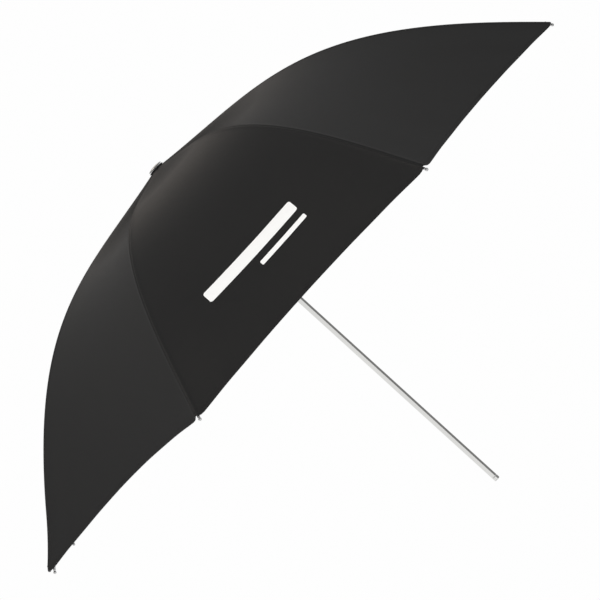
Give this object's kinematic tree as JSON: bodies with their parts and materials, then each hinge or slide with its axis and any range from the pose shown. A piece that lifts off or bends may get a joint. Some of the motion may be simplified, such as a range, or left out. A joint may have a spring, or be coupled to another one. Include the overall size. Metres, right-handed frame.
{
  "type": "umbrella reflector",
  "caption": "Folding photographic umbrella reflector: black-backed silver canopy on sprung ribs, with a runner and a catch on a slim chromed shaft.",
  "frame": {"origin": "centre of the shaft's free end, where the reflector is gripped", "axes": "+Z along the shaft towards the canopy's apex, -Y through the middle of the front gore, +X to its right"},
  "size_m": [0.7826, 0.7826, 0.521],
  "materials": {
    "shaft_chrome": "bright chrome plate",
    "cap_chrome": "bright plated button",
    "tip_metal": "bright plated ball tip",
    "rib_steel": "plated spring steel, satin",
    "wire_steel": "plain drawn wire",
    "plug_steel": "turned, satin",
    "black_plastic": "moulded, fine texture",
    "canopy_cloth": "tight black weave outside, silver coating inside"
  },
  "bodies": {
    "shaft_assembly": {"shaft": "shaft_chrome", "shaft_plug": "plug_steel", "stop_pin": "plug_steel", "crown": "black_plastic", "crown_wire": "wire_steel", "top_washer": "black_plastic", "top_cap": "cap_chrome"},
    "runner_assembly": {"runner": "black_plastic", "runner_wire": "wire_steel"},
    "catch": {"catch_blade": "plug_steel"},
    "rib_1": {"rib_inner_1": "rib_steel", "canopy_inner_1": "canopy_cloth"},
    "rib_end_1": {"rib_outer_1": "rib_steel", "rib_tip_1": "tip_metal", "canopy_outer_1": "canopy_cloth"},
    "stretcher_1": {"stretcher_1": "rib_steel"},
    "rib_2": {"rib_inner_2": "rib_steel", "canopy_inner_2": "canopy_cloth"},
    "rib_end_2": {"rib_outer_2": "rib_steel", "rib_tip_2": "tip_metal", "canopy_outer_2": "canopy_cloth"},
    "stretcher_2": {"stretcher_2": "rib_steel"},
    "rib_3": {"rib_inner_3": "rib_steel", "canopy_inner_3": "canopy_cloth"},
    "rib_end_3": {"rib_outer_3": "rib_steel", "rib_tip_3": "tip_metal", "canopy_outer_3": "canopy_cloth"},
    "stretcher_3": {"stretcher_3": "rib_steel"},
    "rib_4": {"rib_inner_4": "rib_steel", "canopy_inner_4": "canopy_cloth"},
    "rib_end_4": {"rib_outer_4": "rib_steel", "rib_tip_4": "tip_metal", "canopy_outer_4": "canopy_cloth"},
    "stretcher_4": {"stretcher_4": "rib_steel"},
    "rib_5": {"rib_inner_5": "rib_steel", "canopy_inner_5": "canopy_cloth"},
    "rib_end_5": {"rib_outer_5": "rib_steel", "rib_tip_5": "tip_metal", "canopy_outer_5": "canopy_cloth"},
    "stretcher_5": {"stretcher_5": "rib_steel"},
    "rib_6": {"rib_inner_6": "rib_steel", "canopy_inner_6": "canopy_cloth"},
    "rib_end_6": {"rib_outer_6": "rib_steel", "rib_tip_6": "tip_metal", "canopy_outer_6": "canopy_cloth"},
    "stretcher_6": {"stretcher_6": "rib_steel"},
    "rib_7": {"rib_inner_7": "rib_steel", "canopy_inner_7": "canopy_cloth"},
    "rib_end_7": {"rib_outer_7": "rib_steel", "rib_tip_7": "tip_metal", "canopy_outer_7": "canopy_cloth"},
    "stretcher_7": {"stretcher_7": "rib_steel"},
    "rib_8": {"rib_inner_8": "rib_steel", "canopy_inner_8": "canopy_cloth"},
    "rib_end_8": {"rib_outer_8": "rib_steel", "rib_tip_8": "tip_metal", "canopy_outer_8": "canopy_cloth"},
    "stretcher_8": {"stretcher_8": "rib_steel"}
  },
  "joints": [
    {"name": "rib_1_fold", "type": "hinge", "parent": "shaft_assembly", "child": "rib_1", "pos_m": [0.00383, -0.00924, 0.511], "axis": [0.9239, 0.3827, 0], "range_deg": [0, 74.78], "deforming": ["canopy_inner_1", "canopy_outer_1", "canopy_inner_2", "canopy_outer_2", "canopy_inner_3", "canopy_outer_3", "canopy_inner_4", "canopy_outer_4", "canopy_inner_5", "canopy_outer_5", "canopy_inner_6", "canopy_outer_6", "canopy_inner_7", "canopy_outer_7", "canopy_inner_8", "canopy_outer_8", "catch_blade"]},
    {"name": "rib_1_straighten", "type": "hinge", "parent": "rib_1", "child": "rib_end_1", "pos_m": [0.07222, -0.17435, 0.4788], "axis": [0.9239, 0.3827, 0], "range_deg": [-28.2, 0]},
    {"name": "stretcher_1_pivot", "type": "hinge", "parent": "rib_1", "child": "stretcher_1", "pos_m": [0.07222, -0.17435, 0.4788], "axis": [0.9239, 0.3827, 0], "range_deg": [-149.6, 0]},
    {"name": "rib_2_fold", "type": "hinge", "parent": "shaft_assembly", "child": "rib_2", "pos_m": [0.00924, -0.00383, 0.511], "axis": [0.3827, 0.9239, 0], "range_deg": [0, 74.78]},
    {"name": "rib_2_straighten", "type": "hinge", "parent": "rib_2", "child": "rib_end_2", "pos_m": [0.17435, -0.07222, 0.4788], "axis": [0.3827, 0.9239, 0], "range_deg": [-28.2, 0]},
    {"name": "stretcher_2_pivot", "type": "hinge", "parent": "rib_2", "child": "stretcher_2", "pos_m": [0.17435, -0.07222, 0.4788], "axis": [0.3827, 0.9239, 0], "range_deg": [-149.6, 0]},
    {"name": "rib_3_fold", "type": "hinge", "parent": "shaft_assembly", "child": "rib_3", "pos_m": [0.00924, 0.00383, 0.511], "axis": [-0.3827, 0.9239, 0], "range_deg": [0, 74.78]},
    {"name": "rib_3_straighten", "type": "hinge", "parent": "rib_3", "child": "rib_end_3", "pos_m": [0.17435, 0.07222, 0.4788], "axis": [-0.3827, 0.9239, 0], "range_deg": [-28.2, 0]},
    {"name": "stretcher_3_pivot", "type": "hinge", "parent": "rib_3", "child": "stretcher_3", "pos_m": [0.17435, 0.07222, 0.4788], "axis": [-0.3827, 0.9239, 0], "range_deg": [-149.6, 0]},
    {"name": "rib_4_fold", "type": "hinge", "parent": "shaft_assembly", "child": "rib_4", "pos_m": [0.00383, 0.00924, 0.511], "axis": [-0.9239, 0.3827, 0], "range_deg": [0, 74.78]},
    {"name": "rib_4_straighten", "type": "hinge", "parent": "rib_4", "child": "rib_end_4", "pos_m": [0.07222, 0.17435, 0.4788], "axis": [-0.9239, 0.3827, 0], "range_deg": [-28.2, 0]},
    {"name": "stretcher_4_pivot", "type": "hinge", "parent": "rib_4", "child": "stretcher_4", "pos_m": [0.07222, 0.17435, 0.4788], "axis": [-0.9239, 0.3827, 0], "range_deg": [-149.6, 0]},
    {"name": "rib_5_fold", "type": "hinge", "parent": "shaft_assembly", "child": "rib_5", "pos_m": [-0.00383, 0.00924, 0.511], "axis": [-0.9239, -0.3827, 0], "range_deg": [0, 74.78]},
    {"name": "rib_5_straighten", "type": "hinge", "parent": "rib_5", "child": "rib_end_5", "pos_m": [-0.07222, 0.17435, 0.4788], "axis": [-0.9239, -0.3827, 0], "range_deg": [-28.2, 0]},
    {"name": "stretcher_5_pivot", "type": "hinge", "parent": "rib_5", "child": "stretcher_5", "pos_m": [-0.07222, 0.17435, 0.4788], "axis": [-0.9239, -0.3827, 0], "range_deg": [-149.6, 0]},
    {"name": "rib_6_fold", "type": "hinge", "parent": "shaft_assembly", "child": "rib_6", "pos_m": [-0.00924, 0.00383, 0.511], "axis": [-0.3827, -0.9239, 0], "range_deg": [0, 74.78]},
    {"name": "rib_6_straighten", "type": "hinge", "parent": "rib_6", "child": "rib_end_6", "pos_m": [-0.17435, 0.07222, 0.4788], "axis": [-0.3827, -0.9239, 0], "range_deg": [-28.2, 0]},
    {"name": "stretcher_6_pivot", "type": "hinge", "parent": "rib_6", "child": "stretcher_6", "pos_m": [-0.17435, 0.07222, 0.4788], "axis": [-0.3827, -0.9239, 0], "range_deg": [-149.6, 0]},
    {"name": "rib_7_fold", "type": "hinge", "parent": "shaft_assembly", "child": "rib_7", "pos_m": [-0.00924, -0.00383, 0.511], "axis": [0.3827, -0.9239, 0], "range_deg": [0, 74.78]},
    {"name": "rib_7_straighten", "type": "hinge", "parent": "rib_7", "child": "rib_end_7", "pos_m": [-0.17435, -0.07222, 0.4788], "axis": [0.3827, -0.9239, 0], "range_deg": [-28.2, 0]},
    {"name": "stretcher_7_pivot", "type": "hinge", "parent": "rib_7", "child": "stretcher_7", "pos_m": [-0.17435, -0.07222, 0.4788], "axis": [0.3827, -0.9239, 0], "range_deg": [-149.6, 0]},
    {"name": "rib_8_fold", "type": "hinge", "parent": "shaft_assembly", "child": "rib_8", "pos_m": [-0.00383, -0.00924, 0.511], "axis": [0.9239, -0.3827, 0], "range_deg": [0, 74.78]},
    {"name": "rib_8_straighten", "type": "hinge", "parent": "rib_8", "child": "rib_end_8", "pos_m": [-0.07222, -0.17435, 0.4788], "axis": [0.9239, -0.3827, 0], "range_deg": [-28.2, 0]},
    {"name": "stretcher_8_pivot", "type": "hinge", "parent": "rib_8", "child": "stretcher_8", "pos_m": [-0.07222, -0.17435, 0.4788], "axis": [0.9239, -0.3827, 0], "range_deg": [-149.6, 0]},
    {"name": "runner_slide", "type": "slide", "parent": "shaft_assembly", "child": "runner_assembly", "axis": [0, 0, 1], "range_m": [-0.3005, 0]},
    {"name": "catch_press", "type": "hinge", "parent": "shaft_assembly", "child": "catch", "pos_m": [0.0013, 0, 0.3923], "axis": [0, -1, 0], "range_deg": [0, 7.5], "stiffness_Nm_per_rad": 0.02}
  ],
  "couplings": [
    {"joint": "rib_1_straighten", "follows": "rib_1_fold", "ratio": -0.3758},
    {"joint": "stretcher_1_pivot", "follows": "rib_1_fold", "ratio": -2},
    {"joint": "rib_2_fold", "follows": "rib_1_fold", "ratio": 1},
    {"joint": "rib_2_straighten", "follows": "rib_1_fold", "ratio": -0.3758},
    {"joint": "stretcher_2_pivot", "follows": "rib_1_fold", "ratio": -2},
    {"joint": "rib_3_fold", "follows": "rib_1_fold", "ratio": 1},
    {"joint": "rib_3_straighten", "follows": "rib_1_fold", "ratio": -0.3758},
    {"joint": "stretcher_3_pivot", "follows": "rib_1_fold", "ratio": -2},
    {"joint": "rib_4_fold", "follows": "rib_1_fold", "ratio": 1},
    {"joint": "rib_4_straighten", "follows": "rib_1_fold", "ratio": -0.3758},
    {"joint": "stretcher_4_pivot", "follows": "rib_1_fold", "ratio": -2},
    {"joint": "rib_5_fold", "follows": "rib_1_fold", "ratio": 1},
    {"joint": "rib_5_straighten", "follows": "rib_1_fold", "ratio": -0.3758},
    {"joint": "stretcher_5_pivot", "follows": "rib_1_fold", "ratio": -2},
    {"joint": "rib_6_fold", "follows": "rib_1_fold", "ratio": 1},
    {"joint": "rib_6_straighten", "follows": "rib_1_fold", "ratio": -0.3758},
    {"joint": "stretcher_6_pivot", "follows": "rib_1_fold", "ratio": -2},
    {"joint": "rib_7_fold", "follows": "rib_1_fold", "ratio": 1},
    {"joint": "rib_7_straighten", "follows": "rib_1_fold", "ratio": -0.3758},
    {"joint": "stretcher_7_pivot", "follows": "rib_1_fold", "ratio": -2},
    {"joint": "rib_8_fold", "follows": "rib_1_fold", "ratio": 1},
    {"joint": "rib_8_straighten", "follows": "rib_1_fold", "ratio": -0.3758},
    {"joint": "stretcher_8_pivot", "follows": "rib_1_fold", "ratio": -2},
    {"joint": "runner_slide", "follows": "rib_1_fold", "m_per_rad": -0.22788}
  ]
}
